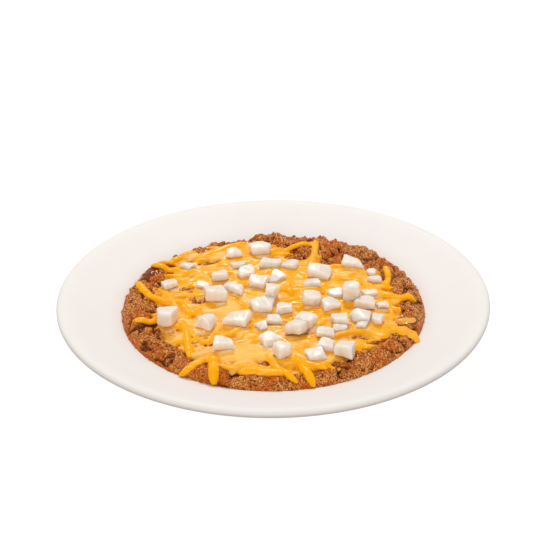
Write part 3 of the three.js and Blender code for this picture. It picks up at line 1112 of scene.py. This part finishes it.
def onion_material():
    """Raw white onion: juicy, milky flesh that lets light in, with faint lines along its layers."""
    material, tree = new_material("white onion flesh")
    place = add_node(tree, "ShaderNodeTexCoord").outputs["Object"]
    layer, foot = (
        add_node(tree, "ShaderNodeAttribute", attribute_name=name).outputs["Fac"]
        for name in ("layer", "foot")
    )
    cloudy = add_node(
        tree, "ShaderNodeTexNoise", {"Vector": place, "Scale": 1 / (5 * MM), "Detail": 3.0, "Roughness": 0.6}
    ).outputs["Fac"]
    wobble = add_node(
        tree, "ShaderNodeMath", {0: cloudy, 1: 2.5, 2: layer}, operation="MULTIPLY_ADD"
    ).outputs[0]
    lines = add_node(tree, "ShaderNodeMath", {0: wobble}, operation="SINE").outputs[0]
    colour = tinted(
        tree,
        "#e4d7c8",
        # Cloudy flesh, the lines of its layers, and round its foot a cheese stain with a painted warm glow
        # bounced from the cheese.
        [cloudy, "LINEAR", 0.0, 1.0, 1.0, "#ebe0d3"],
        [lines, "LINEAR", 0.2, 1.0, 0.5, "#dfd0c0"],
        [foot, "LINEAR", 0.0, 1.0, 1.0, "#f7c98c"],
    )
    bump = add_node(tree, "ShaderNodeBump", {"Height": lines, "Strength": 0.1, "Distance": 0.3 * MM})
    surface = add_node(
        tree,
        "ShaderNodeBsdfPrincipled",
        {
            "Base Color": colour,
            "Roughness": 0.35,
            "IOR": 1.38,
            "Specular IOR Level": 0.3,
            "Subsurface Weight": 0.8,
            "Subsurface Radius": (3.0, 2.7, 2.4),
            "Subsurface Scale": 2.2 * MM,
            "Coat Weight": 0.1,
            "Coat Roughness": 0.2,
            "Normal": bump.outputs["Normal"],
        },
    )
    add_node(tree, "ShaderNodeOutputMaterial", {"Surface": surface.outputs["BSDF"]})
    return material


def cut_corner(piece, draw):
    """Takes a corner off a piece with one straight cut."""
    places = np.array([vert.co[:] for vert in piece.verts])
    heading = draw.uniform(0, math.tau)
    aside = Vector((math.cos(heading), math.sin(heading), draw.uniform(-0.3, 0.6))).normalized()
    along = places @ np.array(aside)
    at = lerp(along.max(), along.min(), draw.uniform(0.06, 0.2))
    cut = bmesh.ops.bisect_plane(
        piece,
        geom=piece.verts[:] + piece.edges[:] + piece.faces[:],
        dist=MERGE_DISTANCE,
        plane_co=aside * at,
        plane_no=aside,
        clear_outer=True,
    )
    edges = [item for item in cut["geom_cut"] if isinstance(item, bmesh.types.BMEdge)]
    bmesh.ops.contextual_create(piece, geom=edges)


def sharp_edges(piece, degrees):
    return [edge for edge in piece.edges if edge.calc_face_angle(0) > math.radians(degrees)]


def onion_piece(node, draw):
    """A cut piece of onion: the solid's own form, its cut edges softened, its faces slightly uneven."""
    piece = merged_copy(node)
    cut_corner(piece, draw)
    cut_corner(piece, draw)
    sharp = sharp_edges(piece, 40)
    flat = [edge for edge in piece.edges if edge not in sharp]
    bmesh.ops.dissolve_limit(piece, angle_limit=math.radians(2), verts=piece.verts, edges=flat)
    bmesh.ops.bevel(
        piece,
        geom=sharp_edges(piece, 25),
        offset=draw.uniform(0.6, 1.4) * MM,
        offset_type="OFFSET",
        affect="EDGES",
        segments=3,
        profile=0.5,
        material=-1,
        clamp_overlap=True,
    )
    bmesh.ops.triangulate(piece, faces=piece.faces)
    long_edges = [edge for edge in piece.edges if edge.calc_length() > LONGEST_EDGE * MM]
    bmesh.ops.subdivide_edges(piece, edges=long_edges, cuts=2, use_grid_fill=True)
    bmesh.ops.triangulate(piece, faces=piece.faces)
    shift = Vector([draw.uniform(-50, 50) for _ in range(3)])
    for vert in piece.verts:
        vert.co += noise.noise_vector(vert.co / (DICE_GRAIN * MM) + shift) * DICE_UNEVEN * MM
    axes = {"use_axis_x": True, "use_axis_y": True, "use_axis_z": True}
    for _ in range(3):
        bmesh.ops.smooth_vert(piece, verts=piece.verts, factor=0.5, **axes)
    return piece


def swell_and_sink(piece):
    """Juicy pieces, a little over their size and sunk into the melted cheese."""
    middle = sum((vert.co for vert in piece.verts), Vector()) / len(piece.verts)
    for vert in piece.verts:
        vert.co = middle + (vert.co - middle) * DICE_SWELL - Vector((0, 0, DICE_SUNK * MM))


def make_onion():
    draw = random.Random(ONION_SEED)
    nodes = onion_nodes()
    dice = bmesh.new()
    layer_values, stain_and_glow_values = [], []
    for node in nodes:
        piece = onion_piece(node, draw)
        swell_and_sink(piece)
        mesh = mesh_from(piece, node + "_cut")
        places = coordinates(mesh)
        centred = places - places.mean(0)
        long_axis = np.linalg.svd(centred, full_matrices=False)[2][0]
        layer_values.append(centred @ long_axis / (LAYER_THICKNESS * MM) * math.tau)
        # Round the foot: a cheese stain and painted warm light bounced from the cheese, fading with height.
        risen = (places[:, 2] - places[:, 2].min()) / MM
        stain_and_glow_values.append(0.7 * (1 - (risen / STAIN_AND_GLOW_HEIGHT).clip(0, 1)) ** 1.4)
        dice.from_mesh(mesh)
        bpy.data.meshes.remove(mesh)
    mesh = mesh_from(dice, "onion_dice")
    set_attribute(mesh, "layer", np.concatenate(layer_values))
    set_attribute(mesh, "foot", np.concatenate(stain_and_glow_values))
    set_surface(mesh, onion_material())
    onion = add_object("onion_dice", mesh)
    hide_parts(*nodes)
    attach(onion, "root")


# ---- camera, floor and light ----


def make_camera():
    """A long lens from well away, nearly 30 degrees above the table, held with a slight tilt."""
    distance = 1100
    elevation = math.radians(29.75)
    roll = math.radians(-0.5)
    target = Vector((1.1, 0, CHILI_LEVEL + 21.5))
    centre = Vector((0, 0, CHILI_LEVEL))
    place = centre + distance * Vector((0, -math.cos(elevation), math.sin(elevation)))
    forward = (target - place).normalized()
    right = forward.cross(Vector((0, 0, 1))).normalized()
    up = right.cross(forward)
    turned_right = right * math.cos(roll) + up * math.sin(roll)
    turned_up = up * math.cos(roll) - right * math.sin(roll)
    data = bpy.data.cameras.new("camera")
    data.lens = 135
    data.sensor_width = 36
    data.clip_end = 20
    camera = add_object("camera", data)
    matrix = Matrix((turned_right, turned_up, -forward)).transposed().to_4x4()
    matrix.translation = place * MM
    camera.matrix_world = matrix
    bpy.context.scene.camera = camera


def make_floor():
    """A plain white floor, lit through a little so that it stays pale under the plate."""
    material, tree = new_material("white studio floor")
    surface = add_node(
        tree,
        "ShaderNodeBsdfPrincipled",
        {
            "Base Color": linear("#8c8c8c"),
            "Roughness": 1.0,
            "Specular IOR Level": 0.0,
            "Emission Color": (1, 1, 1, 1),
            "Emission Strength": FLOOR_GLOW,
        },
    )
    add_node(tree, "ShaderNodeOutputMaterial", {"Surface": surface.outputs["BSDF"]})
    plane = bmesh.new()
    bmesh.ops.create_grid(plane, x_segments=1, y_segments=1, size=FLOOR_HALF)
    mesh = mesh_from(plane, "studio_floor")
    set_surface(mesh, material)
    floor = add_object("studio_floor", mesh)


def make_light():
    world = bpy.data.worlds.new("studio")
    world.use_nodes = True
    world.node_tree.nodes["Background"].inputs["Color"].default_value = (1, 1, 1, 1)
    world.node_tree.nodes["Background"].inputs["Strength"].default_value = ROOM_LIGHT
    bpy.context.scene.world = world
    for name, place, width, depth, power in LIGHTS:
        data = bpy.data.lights.new(name, "AREA")
        data.shape = "RECTANGLE"
        data.size = width
        data.size_y = depth
        data.energy = power
        light = add_object(name, data)
        light.location = place
        light.rotation_euler = (Vector(LIGHT_AIM) - Vector(place)).to_track_quat("-Z", "Y").to_euler()
    bpy.context.scene.view_settings.view_transform = "Standard"


make_camera()
make_floor()
make_light()
make_plate()
chili_piece = make_chili()
make_cheese(chili_piece)
make_onion()
